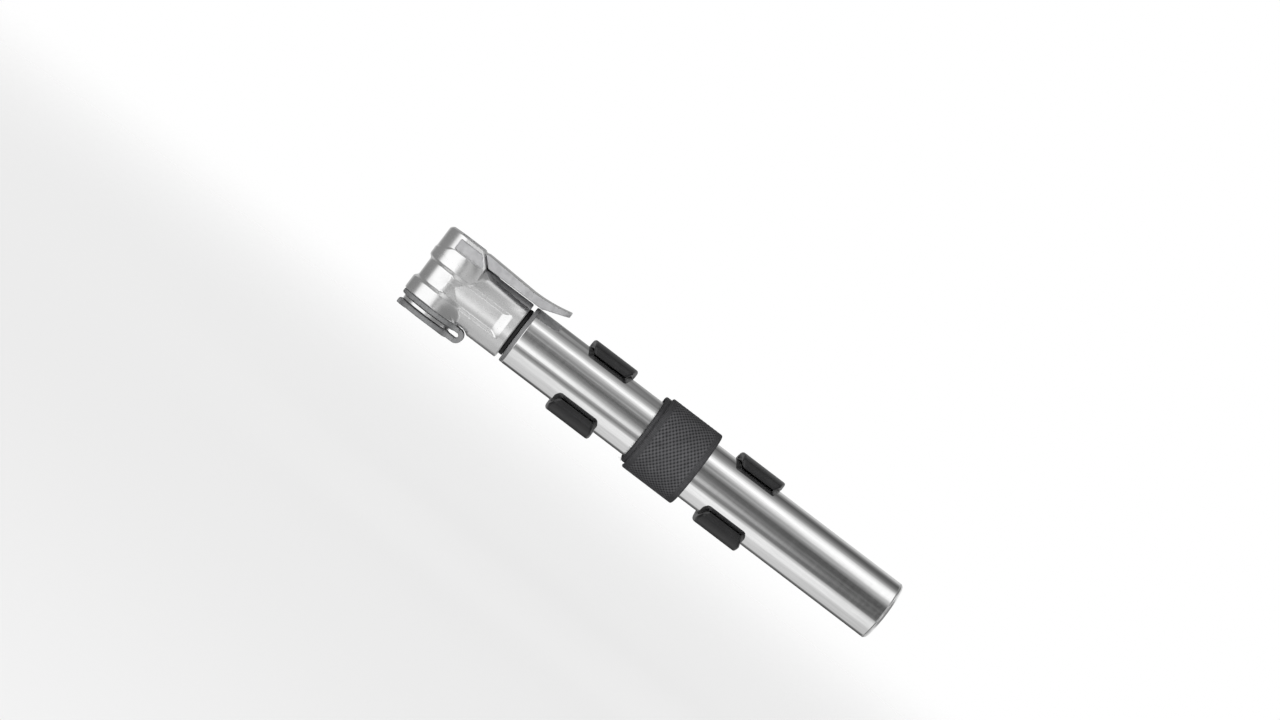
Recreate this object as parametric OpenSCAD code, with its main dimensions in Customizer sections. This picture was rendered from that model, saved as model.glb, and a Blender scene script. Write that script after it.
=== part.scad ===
// Mini bicycle pump in a frame bracket that shares the bottle cage's two bolts.
// Origin: middle of the two bolt slots, on the plate's underside. +X runs along the pump towards its
// tail, +Y away from the pump across the frame tube, +Z away from the frame tube.

/* [Handle] */
// Outer diameter of the handle tube
handle_d = 22.8; // [22:0.2:23.6]
// Length of the handle, from its collar to its end cap
handle_len = 158.8; // [150:0.1:180]

/* [Head] */
// Distance from the seam to the nozzle's axis
nozzle_back = 29.3; // [28:0.1:31]
// Diameter of the head's nozzle column
column_d = 22.8; // [22.8:0.2:24]
// Height of the ears above the pump's axis
ear_top = 16; // [15.9:0.1:17]
// Length of the thumb lever, from its pin to its tip
lever_len = 41.3; // [36:0.1:46]

/* [Bracket] */
// Distance between the two bolts of a bottle cage
bolt_pitch = 64; // [64:1:64]
// Width of the bolt slots
slot_w = 5.5; // [5.2:0.1:6]
// Length of the bolt slots
slot_len = 12; // [8:1:14]
// Distance from the pump's axis to the line of the bolts
reach = 28; // [27:1:32]
// Length of each clip along the pump
clip_len = 19; // [15:1:20]
// Thickness of the clip arms
clip_t = 3.2; // [2.6:0.1:3.4]

/* [Strap] */
// Width of the strap
strap_w = 21.5; // [16:0.5:22]
// Thickness of one layer of the strap
strap_t = 1.5; // [1:0.1:1.6]

/* [Hidden] */
$fn = 96;
eps = 0.01;

// Where the pump's seam sits in the part's frame: x, y and z of the pump's own origin.
seam_x = -64;
axis_z = 3;

// Handle
handle_r = handle_d / 2;
handle_wall = 1;
sleeve_r = handle_r - handle_wall;
collar_x = 0.2;
collar_face = 1.35;
collar_depth = 10.4;
cap_face = 1.1;
cap_depth = 8;
rod_socket = 4;
cap_chamfer = 0.6;
cap_recess_r = 8.2;
cap_recess = 0.5;
cap_bore_r = 4.2;
cap_bore = 2.6;
handle_end = collar_x + handle_len;

// Barrel, rod and piston
barrel_r = 8.5;
bore_r = 7.5;
barrel_x0 = -8;
barrel_x1 = handle_end - 13;
barrel_seal_x = -4.4;
barrel_seal_r = 9.27;
run_gap = 0.05;
seat_gap = 0.02;
guide_depth = 6;
guide_flange = 3;
buffer_t = 2.4;
rod_r = 4;
rod_bore_r = 2;
piston_x0 = -7.4;
piston_len = 8;
piston_r = 7.35;
seal_r = 1;
screw_head_r = 3.6;
screw_pocket = 2.4;
screw_len = 14;
hex_r = 1.45;

// Head: heights are from the pump's axis
column_r = column_d / 2;
column_foot = -10.6;
neck_r = 11.3;
neck_end = -1.4;
neck_round_x = -5;
head_edge = 0.6;
shoulder_r = 4.2;
shoulder_y = 6;
shoulder_z = 6.3;
ear_half = 10.1;
slot_half = 6.2;
front_wall = 5.2;
ear_floor = 10.3;
ear_end_top = 4.2;
ear_end_foot = 7.6;
ear_knee = 11.4;
ear_slope = 1.2;
ear_corner = 0.9;
panel_depth = 0.5;
panel_front = 5.3;
panel_back = 6.2;
panel_knee = 11.6;
panel_margin = 1.5;
waist_floor = 1.15;
waist_hi = 3.9;
waist_lo = -5.2;
waist_end = 21.9;
waist_bevel_angle = 25.6;
pocket_floor = 6.9;
slot_floor = 10.7;
slot_end = ear_end_foot + 0.3;
pocket_end = 5.6;
beyond = 20;
notch_r = 3.4;

// Nozzle, all on one upright axis
nozzle_x = -nozzle_back;
plunger_bore_r = 6.5;
plunger_top = 8;
plunger_foot = 1.2;
gasket_bore_r = 3.95;
gasket_r = 6.9;
gasket_foot = -6.4;
gasket_top = 1.1;
chamber_r = 7;
collar_hole_r = 4.7;
ring_top = -10.65;
ring_foot = -12.45;
flange_top = -12.6;
flange_foot = -14;
flange_r = 9.65;
plunger_foot_r = 5.3;
plunger_seal_z = 5.9;
plunger_seal_r = 5.77;
plunger_ring_r = 0.7;

// Lever
pin_x = nozzle_x - 1;
pin_z = 12;
pin_r = 1.5;
cam_r = 3.7;
cam_throw = 1.2;
lever_half = 9;
lever_tip_half = 6.8;
lever_under = 11.85;
lever_top = 15.8;
lever_dip = 15;
lever_tip_top = 17;
lever_tip_t = 1.8;
lever_wall = 1.5;
hub_half = 6;

// Dust cap, a soft moulding whose strap bends through half a turn
bend_x = nozzle_x + 12.8;
bend_z = -13.35;
bend_in = 0.9;
bend_out = 2.7;
cap_strap_half = 4;
cap_ring_r = 11;
lid_r = 10;
lid_plug_r = 4.2;
lid_plug_top = -11.4;

// Check valve, between the barrel and the nozzle
seat_r = 6.5;
seat_t = 2;
seat_bore_r = 1.5;
valve_chamber_r = 3.6;
valve_chamber = 7;
poppet_r = 3.1;
poppet_t = 1.2;
passage_r = 1.2;
passage_z = 2.2;

// Bracket and strap
grip_gap = 0.15;
grip_in = handle_r + grip_gap;
grip_out = grip_in + clip_t;
upper_tip = 61;
lower_tip = -43;
plate_lo = 0.5;
plate_hi = 2.5;
pad_hi = 3;
plate_edge = 9;
pad_half = 7.6;
spine_half_z = 7;
strap_x = 67;
strap_gap = 0.4;
band_in = handle_r + strap_gap;
band_out = band_in + strap_t;
layer_gap = 0.05;
flap_in = band_out + layer_gap;
flap_out = flap_in + strap_t;
strap_back = 18;
flap_shift = 1.6;
flap_end_y = 0.5;
opening_lo = 15.3;
opening_hi = 19.4;
gusset_t = 2;
gusset_spread = 6;

// ---------- helpers ----------

// Children are drawn in the pump's own frame: x from the seam, y and z from the pump's axis.
module on_pump() {
    translate([seam_x, -reach, axis_z]) children();
}

module rod_x(r, x0, x1) {
    translate([x0, 0, 0]) rotate([0, 90, 0]) cylinder(r = r, h = x1 - x0);
}

module tube_x(r_out, r_in, x0, x1) {
    difference() {
        rod_x(r_out, x0, x1);
        rod_x(r_in, x0 - 1, x1 + 1);
    }
}

module rod_z(r, z0, z1, x = nozzle_x) {
    translate([x, 0, z0]) cylinder(r = r, h = z1 - z0);
}

module rod_y(r, y0, y1, x, z) {
    translate([x, y0, z]) rotate([-90, 0, 0]) cylinder(r = r, h = y1 - y0);
}

// An outline in x and z, pushed from y0 to y1
module side_slab(points, y0, y1) {
    translate([0, y1, 0]) rotate([90, 0, 0]) linear_extrude(y1 - y0) polygon(points);
}

module ring_x(r_big, r_small, x) {
    translate([x, 0, 0]) rotate([0, 90, 0]) rotate_extrude() translate([r_big, 0]) circle(r_small, $fn = 32);
}

module ring_z(r_big, r_small, z) {
    translate([nozzle_x, 0, z]) rotate_extrude() translate([r_big, 0]) circle(r_small, $fn = 32);
}

// ---------- head ----------

// The neck starts with square shoulders under the ears and ends round at the seam.
module neck() {
    difference() {
        hull() {
            rod_x(neck_r, nozzle_x, nozzle_x + ear_end_foot, $fn = 72);
            for (side = [-1, 1]) translate([nozzle_x, side * shoulder_y, shoulder_z])
                rotate([0, 90, 0]) cylinder(r = shoulder_r, h = ear_end_foot, $fn = 48);
            rod_x(neck_r, neck_round_x, neck_end - head_edge, $fn = 72);
            rod_x(neck_r - head_edge, neck_round_x, neck_end, $fn = 72);
        }
        // step for the dust cap's ring, and the notch for its bent strap
        translate([nozzle_x - beyond, -beyond, column_foot - beyond])
            cube([bend_x - nozzle_x + beyond, 2 * beyond, beyond]);
        rod_y(notch_r, -beyond, beyond, bend_x, bend_z);
    }
}

module ears() {
    ear_outline = [
        [nozzle_x - beyond, ear_floor - 1], [nozzle_x + ear_end_foot, ear_floor - 1],
        [nozzle_x + ear_end_foot, ear_knee], [nozzle_x + ear_end_top, ear_top - ear_corner],
        [nozzle_x + ear_end_top - ear_corner, ear_top], [nozzle_x - column_r + ear_slope, ear_top],
        [nozzle_x - column_r - eps, ear_top - ear_slope], [nozzle_x - beyond, ear_top - ear_slope]
    ];
    intersection() {
        union() {
            rod_z(column_r, ear_floor - 1, ear_top);
            translate([nozzle_x, -ear_half, ear_floor - 1]) cube([12, 2 * ear_half, 12]);
        }
        side_slab(ear_outline, -ear_half, ear_half);
    }
}

// Shallow cast panel on the flat of each ear, inside a thin rim
module ear_panels() {
    panel_top = ear_top - panel_margin;
    panel = [
        [nozzle_x - panel_front, ear_floor], [nozzle_x + panel_back, ear_floor],
        [nozzle_x + panel_back, panel_knee], [nozzle_x + panel_back - panel_top + panel_knee, panel_top],
        [nozzle_x - panel_front, panel_top]
    ];
    for (side = [0, 1])
        mirror([0, side, 0]) side_slab(panel, -ear_half - 1, -ear_half + panel_depth);
}

// Band cut to one depth round the column and along the neck, with sloping edges
module waist() {
    floor_r = column_r - waist_floor;
    core_r = neck_r - waist_floor;
    section = [
        [core_r - 2, waist_lo + waist_floor], [floor_r, waist_lo + waist_floor],
        [column_r + 2, waist_lo - 2], [column_r + 2, waist_hi + 2],
        [floor_r, waist_hi - waist_floor], [core_r - 2, waist_hi - waist_floor]
    ];
    intersection() {
        translate([nozzle_x, 0, 0]) difference() {
            rotate_extrude() polygon(section);
            rod_z(floor_r, -beyond, beyond, 0);
        }
        translate([nozzle_x - beyond, -beyond, -beyond]) cube([beyond, 2 * beyond, 2 * beyond]);
    }
    for (side = [0, 1])
        mirror([0, side, 0]) difference() {
            translate([nozzle_x, 0, 0]) rotate([90, 0, 90]) linear_extrude(waist_end + 4) polygon(section);
            rod_x(core_r, nozzle_x - 1, 0);
            // shallow bevel at the seam end
            translate([nozzle_x + waist_end, core_r, -beyond]) rotate([0, 0, waist_bevel_angle - 90])
                cube([beyond, beyond, 2 * beyond]);
        }
}

module head_body() {
    on_pump() color([0.79, 0.8, 0.81]) difference() {
        union() {
            difference() {
                union() {
                    rod_z(column_r, column_foot + 0.5, ear_floor);
                    rod_z(column_r - 0.5, column_foot, ear_floor - 1);
                    neck();
                }
                waist();
                for (side = [0, 1])
                    mirror([0, side, 0]) translate([nozzle_x - beyond, ear_half, ear_floor - 0.5])
                        cube([beyond + ear_end_top, beyond, beyond]);
            }
            ears();
        }
        ear_panels();
        // lever slot and cam pocket
        translate([nozzle_x - column_r + front_wall, -slot_half, slot_floor])
            cube([column_r - front_wall + slot_end, 2 * slot_half, beyond]);
        translate([nozzle_x - column_r + front_wall, -slot_half, pocket_floor])
            cube([column_r - front_wall + pocket_end, 2 * slot_half, beyond]);
        // pin hole, blind on the near side
        rod_y(pin_r, -ear_half + 1.4, 20, pin_x, pin_z);
        // upright bores
        rod_z(plunger_bore_r, gasket_top - 1, plunger_top + 0.4);
        rod_z(chamber_r, column_foot - 1, gasket_top);
        // lengthwise bores: barrel socket, valve seat, valve chamber, air passage
        rod_x(barrel_r + seat_gap, barrel_x0, 5);
        rod_x(seat_r + seat_gap, barrel_x0 - seat_t, barrel_x0 + 1);
        rod_x(valve_chamber_r, barrel_x0 - valve_chamber, barrel_x0);
        translate([0, 0, passage_z]) rod_x(passage_r, nozzle_x, barrel_x0 - valve_chamber + 1);
        ring_x(barrel_seal_r - seat_gap, barrel_seal_r - barrel_r + 0.01, barrel_seal_x);
    }
}

module lever_pin() {
    on_pump() color([0.7, 0.71, 0.73]) rod_y(pin_r, -ear_half + 1.5, ear_half - 0.2, pin_x, pin_z);
}

function lever_top_z(x) = lever_dip + (lever_tip_top - lever_dip) * pow((x + 4) / (pin_x + lever_len + 4), 2);

module thumb_lever() {
    tip_x = pin_x + lever_len;
    back_top = nozzle_x + ear_end_top + 0.5;
    back_foot = nozzle_x + ear_end_foot + 0.4;
    curve = [for (i = [0:10]) let (x = -4 + (tip_x + 4) * i / 10) [x, lever_top_z(x)]];
    outline = concat(
        [[back_top + 0.4, lever_top], [back_top, lever_top - 0.7], [back_foot, lever_under],
         [1.7, lever_under], [2.9, lever_under + 0.5], [tip_x, lever_tip_top - lever_tip_t]],
        [for (i = [10:-1:0]) curve[i]]
    );
    hollow = [
        [back_foot + 5.6, lever_under - 1], [back_foot + 5.6, lever_dip - 1.4],
        [-1, lever_dip - 1.4], [0.5, lever_under - 1]
    ];
    plan = [
        [back_top - 1, -lever_half], [-6, -lever_half], [tip_x - 2, -lever_tip_half],
        [tip_x, -lever_tip_half + 2], [tip_x, lever_tip_half - 2], [tip_x - 2, lever_tip_half],
        [-6, lever_half], [back_top - 1, lever_half]
    ];
    on_pump() color([0.62, 0.63, 0.64]) difference() {
        union() {
            intersection() {
                side_slab(outline, -lever_half, lever_half);
                translate([0, 0, 5]) linear_extrude(20) polygon(plan);
            }
            // narrow hub between the ears, with its eccentric cam
            side_slab([[pin_x, lever_under], [back_foot + 4, lever_under], [back_foot + 4, lever_dip],
                       [back_top, lever_top - 0.1], [pin_x - 1, lever_top - 0.1]], -hub_half, hub_half);
            rod_y(cam_r, -hub_half, hub_half, pin_x - cam_throw, pin_z);
        }
        side_slab(hollow, -lever_half + lever_wall, lever_half - lever_wall);
        rod_y(pin_r + run_gap, -10, 10, pin_x, pin_z);
    }
}

// Hollow piston under the cam, which squeezes the gasket when the lever is raised
module plunger() {
    on_pump() color([0.2, 0.2, 0.21]) difference() {
        union() {
            rod_z(plunger_foot_r, plunger_foot, 4);
            rod_z(plunger_bore_r - run_gap, 3.6, plunger_top);
        }
        rod_z(2.5, plunger_foot - 1, 5.4);
        // cross hole that lets the air in
        translate([0, 0, passage_z + 0.2]) rod_x(0.9, nozzle_x - 8, nozzle_x + 8);
        ring_z(plunger_seal_r, plunger_ring_r + 0.01, plunger_seal_z);
    }
}

module plunger_seal() {
    on_pump() color([0.08, 0.08, 0.08]) ring_z(plunger_seal_r, plunger_ring_r, plunger_seal_z);
}

module valve_gasket() {
    on_pump() color([0.13, 0.13, 0.13]) difference() {
        rod_z(gasket_r, gasket_foot, gasket_top);
        rod_z(gasket_bore_r, gasket_foot - 1, gasket_top + 1);
    }
}

module nozzle_collar() {
    on_pump() color([0.78, 0.79, 0.8]) difference() {
        union() {
            rod_z(chamber_r - seat_gap, flange_foot + 0.5, gasket_foot - run_gap);
            rod_z(flange_r, flange_foot + 0.3, flange_top);
            rod_z(flange_r - 0.3, flange_foot, flange_top);
        }
        rod_z(collar_hole_r, flange_foot - 1, gasket_foot + 1);
    }
}

module check_valve_seat() {
    on_pump() color([0.85, 0.85, 0.83]) tube_x(seat_r, seat_bore_r, barrel_x0 - seat_t, barrel_x0);
}

module check_valve_poppet() {
    on_pump() color([0.1, 0.1, 0.1]) {
        rod_x(poppet_r, barrel_x0 - seat_t - poppet_t, barrel_x0 - seat_t);
        rod_x(1.4, barrel_x0 - 5, barrel_x0 - seat_t - 1);
    }
}

// Coil swept along a helix: a ring of points every 24 degrees
module check_valve_spring() {
    turns = 4;
    steps = turns * 15;
    sides = 8;
    coil_r = 2.3;
    wire_r = 0.25;
    x_start = barrel_x0 - seat_t - poppet_t - wire_r;
    x_end = barrel_x0 - valve_chamber + wire_r;
    points = [
        for (i = [0:steps], k = [0:sides - 1])
            let (turn = 360 * turns * i / steps, around = 360 * k / sides, r = coil_r + wire_r * cos(around))
            [x_start + (x_end - x_start) * i / steps + wire_r * sin(around), r * cos(turn), r * sin(turn)]
    ];
    skin = [
        for (i = [0:steps - 1], k = [0:sides - 1])
            let (next = (k + 1) % sides)
            [i * sides + k, i * sides + next, (i + 1) * sides + next, (i + 1) * sides + k]
    ];
    ends = [[for (k = [sides - 1:-1:0]) k], [for (k = [0:sides - 1]) steps * sides + k]];
    on_pump() color([0.72, 0.73, 0.75]) polyhedron(points, concat(skin, ends));
}

module barrel_seal() {
    on_pump() color([0.08, 0.08, 0.08]) ring_x(barrel_seal_r, barrel_seal_r - barrel_r - 0.03, barrel_seal_x);
}

module bumper_ring() {
    on_pump() color([0.05, 0.05, 0.05]) tube_x(9.4, barrel_r + seat_gap, neck_end, 0.1);
}

// ---------- dust cap ----------

module dust_cap_ring() {
    on_pump() color([0.4, 0.4, 0.41]) difference() {
        union() {
            rod_z(cap_ring_r, ring_foot, ring_top);
            translate([nozzle_x, -cap_strap_half, ring_foot])
                cube([bend_x - nozzle_x, 2 * cap_strap_half, ring_top - ring_foot]);
        }
        rod_z(chamber_r + 0.1, ring_foot - 1, ring_top + 1);
    }
}

module dust_cap_strap() {
    on_pump() color([0.4, 0.4, 0.41]) intersection() {
        difference() {
            rod_y(bend_out, -cap_strap_half, cap_strap_half, bend_x, bend_z);
            rod_y(bend_in, -10, 10, bend_x, bend_z);
        }
        translate([bend_x, -10, bend_z - 10]) cube([20, 20, 20]);
    }
}

module dust_cap_lid() {
    lid_top = bend_z - bend_in;
    lid_foot = bend_z - bend_out;
    on_pump() color([0.4, 0.4, 0.41]) {
        rod_z(lid_r, lid_foot, lid_top);
        translate([nozzle_x, -cap_strap_half, lid_foot])
            cube([bend_x - nozzle_x, 2 * cap_strap_half, lid_top - lid_foot]);
        rod_z(lid_plug_r, lid_top - 0.5, lid_plug_top);
        // finger tab
        translate([nozzle_x - lid_r - 0.6, -3, lid_foot - 0.3]) cube([2.4, 6, lid_top - lid_foot]);
    }
}

// ---------- barrel, handle and piston ----------

module barrel() {
    on_pump() color([0.75, 0.76, 0.77]) tube_x(barrel_r, bore_r, barrel_x0, barrel_x1);
}

module barrel_end_guide() {
    on_pump() color([0.12, 0.12, 0.13]) difference() {
        union() {
            rod_x(bore_r, barrel_x1 - guide_depth, barrel_x1 + 1);
            rod_x(sleeve_r - run_gap, barrel_x1, barrel_x1 + guide_flange);
        }
        rod_x(rod_r + run_gap, barrel_x1 - 10, barrel_x1 + 10);
    }
}

module rod_buffer() {
    guide_x0 = barrel_x1 - guide_depth;
    on_pump() color([0.06, 0.06, 0.06]) tube_x(7, rod_r + 0.1, guide_x0 - buffer_t, guide_x0);
}

module handle_sleeve() {
    on_pump() color([0.8, 0.81, 0.82])
        tube_x(handle_r, sleeve_r, collar_x + collar_face, handle_end - cap_face);
}

module handle_collar() {
    on_pump() color([0.45, 0.46, 0.47]) difference() {
        union() {
            rod_x(handle_r - 0.25, collar_x, collar_x + 0.5);
            rod_x(handle_r - 0.05, collar_x + 0.3, collar_x + collar_face);
            rod_x(sleeve_r, collar_x, collar_x + collar_depth);
        }
        rod_x(barrel_r + run_gap, collar_x - 1, collar_x + collar_depth + 1);
    }
}

module handle_end_cap() {
    inner = handle_end - cap_face;
    on_pump() color([0.76, 0.77, 0.78]) difference() {
        union() {
            rod_x(sleeve_r, inner - cap_depth, inner + 0.3);
            rod_x(handle_r, inner, handle_end - cap_chamfer);
            translate([handle_end - cap_chamfer, 0, 0]) rotate([0, 90, 0])
                cylinder(r1 = handle_r, r2 = handle_r - cap_chamfer, h = cap_chamfer);
        }
        rod_x(rod_r + seat_gap, inner - cap_depth - 1, inner - cap_depth + rod_socket);
        rod_x(rod_bore_r + 0.1, inner - cap_depth, handle_end + 1);
        rod_x(cap_bore_r, handle_end - cap_bore, handle_end + 1);
        rod_x(cap_recess_r, handle_end - cap_recess, handle_end + 1);
    }
}

module end_cap_screw() {
    head_x = handle_end - cap_bore;
    on_pump() color([0.25, 0.25, 0.26]) difference() {
        union() {
            rod_x(rod_bore_r - eps, head_x - screw_len, head_x + 1);
            rod_x(screw_head_r + 0.2, head_x, head_x + 2);
        }
        rod_x(hex_r, head_x + 0.4, head_x + 3, $fn = 6);
    }
}

module piston_rod() {
    on_pump() color([0.7, 0.71, 0.72])
        tube_x(rod_r, rod_bore_r, piston_x0 + piston_len, handle_end - cap_face - cap_depth + rod_socket);
}

module piston() {
    on_pump() color([0.16, 0.16, 0.17]) difference() {
        rod_x(piston_r, piston_x0, piston_x0 + piston_len);
        ring_x(bore_r - seal_r - 0.02, seal_r + 0.01, piston_x0 + 3);
        rod_x(rod_bore_r, piston_x0 - 1, piston_x0 + piston_len + 1);
        rod_x(screw_head_r + 0.2, piston_x0 - 1, piston_x0 + screw_pocket);
    }
}

module piston_seal() {
    on_pump() color([0.05, 0.05, 0.05]) ring_x(bore_r - seal_r - 0.02, seal_r, piston_x0 + 3);
}

module piston_screw() {
    on_pump() color([0.6, 0.61, 0.62]) difference() {
        union() {
            rod_x(screw_head_r, piston_x0 + 0.2, piston_x0 + screw_pocket);
            rod_x(rod_bore_r - eps, piston_x0 + 1, piston_x0 + screw_len);
        }
        rod_x(hex_r, piston_x0 - 1, piston_x0 + 1.6, $fn = 6);
    }
}

// ---------- bracket and strap ----------

// C-shaped grip, open towards -Y, whose arms narrow towards their tips
module clip(x_mid) {
    half = clip_len / 2;
    taper = 3.4;
    reach_y = 20;
    outline = [
        [-half, -12], [-half + 0.6, -16], [half - 0.6, -16], [half, -12], [half, 11], [half - taper, 16],
        [-half + taper, 16], [-half, 11]
    ];
    foot = [
        [-half + taper, -6], [-half + 0.4, -12.2], [-half, -20], [half, -20], [half - 0.4, -12.2],
        [half - taper, -6], [half - taper, 9], [half - 0.4, 14.5], [half, 20], [-half, 20],
        [-half + 0.4, 14.5], [-half + taper, 9]
    ];
    opening = [
        [0, 0], [-reach_y * cos(upper_tip), reach_y * sin(upper_tip)], [-40, 40], [-40, -40],
        [-reach_y * cos(lower_tip), reach_y * sin(lower_tip)]
    ];
    translate([x_mid, 0, 0]) difference() {
        intersection() {
            tube_x(grip_out, grip_in, -half, half);
            union() {
                side_slab(foot, -20, 0);
                translate([-half, 0, -20]) cube([clip_len, 20, 40]);
            }
        }
        translate([-half - 1, 0, 0]) rotate([90, 0, 90]) linear_extrude(clip_len + 2) polygon(opening);
    }
}

module slot(x_mid) {
    straight = (slot_len - slot_w) / 2;
    translate([x_mid, 0, -5]) linear_extrude(20) {
        for (side = [-1, 1]) translate([side * straight, 0]) circle(slot_w / 2);
        square([2 * straight, slot_w], center = true);
    }
}

module bracket() {
    spine_len = bolt_pitch + clip_len;
    spine_y1 = -reach + grip_out;
    opening_y = -reach + opening_lo;
    color([0.07, 0.07, 0.075]) difference() {
        union() {
            on_pump() {
                for (side = [-1, 1]) clip(-seam_x + side * bolt_pitch / 2);
                // spine that joins the clips behind the pump
                intersection() {
                    tube_x(grip_out, grip_in, -seam_x - bolt_pitch / 2, -seam_x + bolt_pitch / 2);
                    translate([-seam_x - 50, 5, -spine_half_z]) cube([100, 20, 2 * spine_half_z]);
                }
            }
            // plate with a raised pad on each face
            translate([-spine_len / 2, spine_y1 - 1.2, plate_lo])
                cube([spine_len, plate_edge - spine_y1 + 1.2, plate_hi - plate_lo]);
            translate([-spine_len / 2 + 3, -pad_half, 0]) cube([spine_len - 6, 2 * pad_half, pad_hi]);
            // gussets between plate and clips
            for (end = [-1, 1], side = [-1, 1])
                translate([end * bolt_pitch / 2 + side * gusset_spread - gusset_t / 2, 0, 0])
                    rotate([90, 0, 90]) linear_extrude(gusset_t)
                    polygon([[spine_y1 - 1, plate_hi - 1], [spine_y1 + 5, plate_hi - 1], [spine_y1 - 1, 9]]);
        }
        for (side = [-1, 1]) slot(side * bolt_pitch / 2);
        // opening that the strap passes through
        translate([seam_x + strap_x - strap_w / 2 - 3, opening_y, -5])
            cube([strap_w + 6, opening_hi - opening_lo, 20]);
    }
}

// Closed loop round the pump and the bracket's spine
module strap_band() {
    x0 = strap_x - strap_w / 2 - flap_shift;
    on_pump() color([0.14, 0.14, 0.15]) difference() {
        union() {
            rod_x(band_out, x0, x0 + strap_w);
            translate([x0, 0, -band_out]) cube([strap_w, strap_back, 2 * band_out]);
        }
        rod_x(band_in, x0 - 1, x0 + strap_w + 1);
        translate([x0 - 1, 0, -band_in]) cube([strap_w + 2, strap_back - strap_t, 2 * band_in]);
    }
}

// Second layer, closed over the first on the side away from the bracket
module strap_flap() {
    x0 = strap_x - strap_w / 2;
    on_pump() color([0.16, 0.16, 0.17]) intersection() {
        tube_x(flap_out, flap_in, x0, x0 + strap_w);
        translate([x0 - 1, -20, -20]) cube([strap_w + 2, 20 + flap_end_y, 40]);
    }
}

bracket();
strap_band();
strap_flap();
head_body();
lever_pin();
thumb_lever();
plunger();
plunger_seal();
valve_gasket();
nozzle_collar();
check_valve_seat();
check_valve_poppet();
check_valve_spring();
barrel_seal();
bumper_ring();
dust_cap_ring();
dust_cap_strap();
dust_cap_lid();
barrel();
barrel_end_guide();
rod_buffer();
handle_sleeve();
handle_collar();
handle_end_cap();
end_cap_screw();
piston_rod();
piston();
piston_seal();
piston_screw();
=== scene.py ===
"""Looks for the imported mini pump: smooth meshes for its shaped pieces, and a material for every piece."""
import math

import bpy
import numpy as np
from mathutils import Matrix, Vector


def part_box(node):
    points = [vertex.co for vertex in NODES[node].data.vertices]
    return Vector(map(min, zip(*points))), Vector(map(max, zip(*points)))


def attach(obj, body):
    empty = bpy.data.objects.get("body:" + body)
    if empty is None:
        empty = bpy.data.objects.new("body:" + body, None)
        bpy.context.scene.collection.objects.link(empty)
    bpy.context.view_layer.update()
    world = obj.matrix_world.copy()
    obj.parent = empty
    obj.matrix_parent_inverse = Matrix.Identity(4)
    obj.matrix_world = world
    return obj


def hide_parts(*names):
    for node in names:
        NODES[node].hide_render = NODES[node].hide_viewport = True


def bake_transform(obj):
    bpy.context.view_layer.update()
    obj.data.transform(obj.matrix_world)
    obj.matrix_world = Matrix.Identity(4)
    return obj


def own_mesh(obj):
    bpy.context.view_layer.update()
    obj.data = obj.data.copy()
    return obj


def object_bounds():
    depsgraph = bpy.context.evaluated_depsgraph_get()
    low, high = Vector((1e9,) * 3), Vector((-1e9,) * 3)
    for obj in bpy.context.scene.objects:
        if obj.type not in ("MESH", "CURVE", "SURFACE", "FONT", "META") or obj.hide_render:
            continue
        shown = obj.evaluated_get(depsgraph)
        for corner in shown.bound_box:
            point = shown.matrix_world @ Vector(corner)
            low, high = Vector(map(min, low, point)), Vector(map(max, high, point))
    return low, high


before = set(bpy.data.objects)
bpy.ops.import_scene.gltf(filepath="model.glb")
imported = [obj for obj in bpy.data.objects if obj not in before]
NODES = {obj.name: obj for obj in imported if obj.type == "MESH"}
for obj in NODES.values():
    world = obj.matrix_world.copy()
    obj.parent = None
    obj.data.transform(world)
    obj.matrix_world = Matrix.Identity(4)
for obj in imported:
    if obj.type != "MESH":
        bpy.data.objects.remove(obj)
cad_box = [list(corner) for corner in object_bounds()]
MM = 0.001

# The pump's own origin: x from the seam between head and handle, y and z from the pump's axis. Unless they
# say otherwise, places and sizes below are millimetres from there.
sleeve_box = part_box("handle_sleeve")
collar_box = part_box("handle_collar")
COLLAR_X = 0.2
ORIGIN = np.array([
    collar_box[0][0] - COLLAR_X * MM,
    (sleeve_box[0][1] + sleeve_box[1][1]) / 2,
    (sleeve_box[0][2] + sleeve_box[1][2]) / 2,
])


def place(points):
    """Millimetres in the pump's frame to metres in the row frame."""
    return np.asarray(points, float) * MM + ORIGIN


# ---------- camera ----------

# The camera's place, the point that it looks at, its roll in degrees, and its lens and sensor.
CAMERA_AT = (8, -1088, 55)
CAMERA_AIM = (39.1, 0, 18.25)
CAMERA_ROLL = 37.38
LENS = 88.8
SENSOR_W = 36


def add_camera():
    """Photograph's viewing angle: nearly square to the pump, with its tail at the lower right."""
    position = Vector(place(CAMERA_AT))
    aim = Vector(place(CAMERA_AIM))
    roll = math.radians(CAMERA_ROLL)
    forward = (aim - position).normalized()
    level = forward.cross(Vector((0, 0, 1))).normalized()
    upright = level.cross(forward)
    right = math.cos(roll) * level + math.sin(roll) * upright
    up = math.cos(roll) * upright - math.sin(roll) * level
    data = bpy.data.cameras.new("camera")
    data.sensor_width = SENSOR_W
    data.lens = LENS
    data.clip_end = 100
    camera = bpy.data.objects.new("camera", data)
    bpy.context.scene.collection.objects.link(camera)
    camera.matrix_world = Matrix((
        (right.x, up.x, -forward.x, position.x),
        (right.y, up.y, -forward.y, position.y),
        (right.z, up.z, -forward.z, position.z),
        (0, 0, 0, 1),
    ))
    bpy.context.scene.camera = camera


add_camera()


# ---------- node trees ----------

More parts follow.
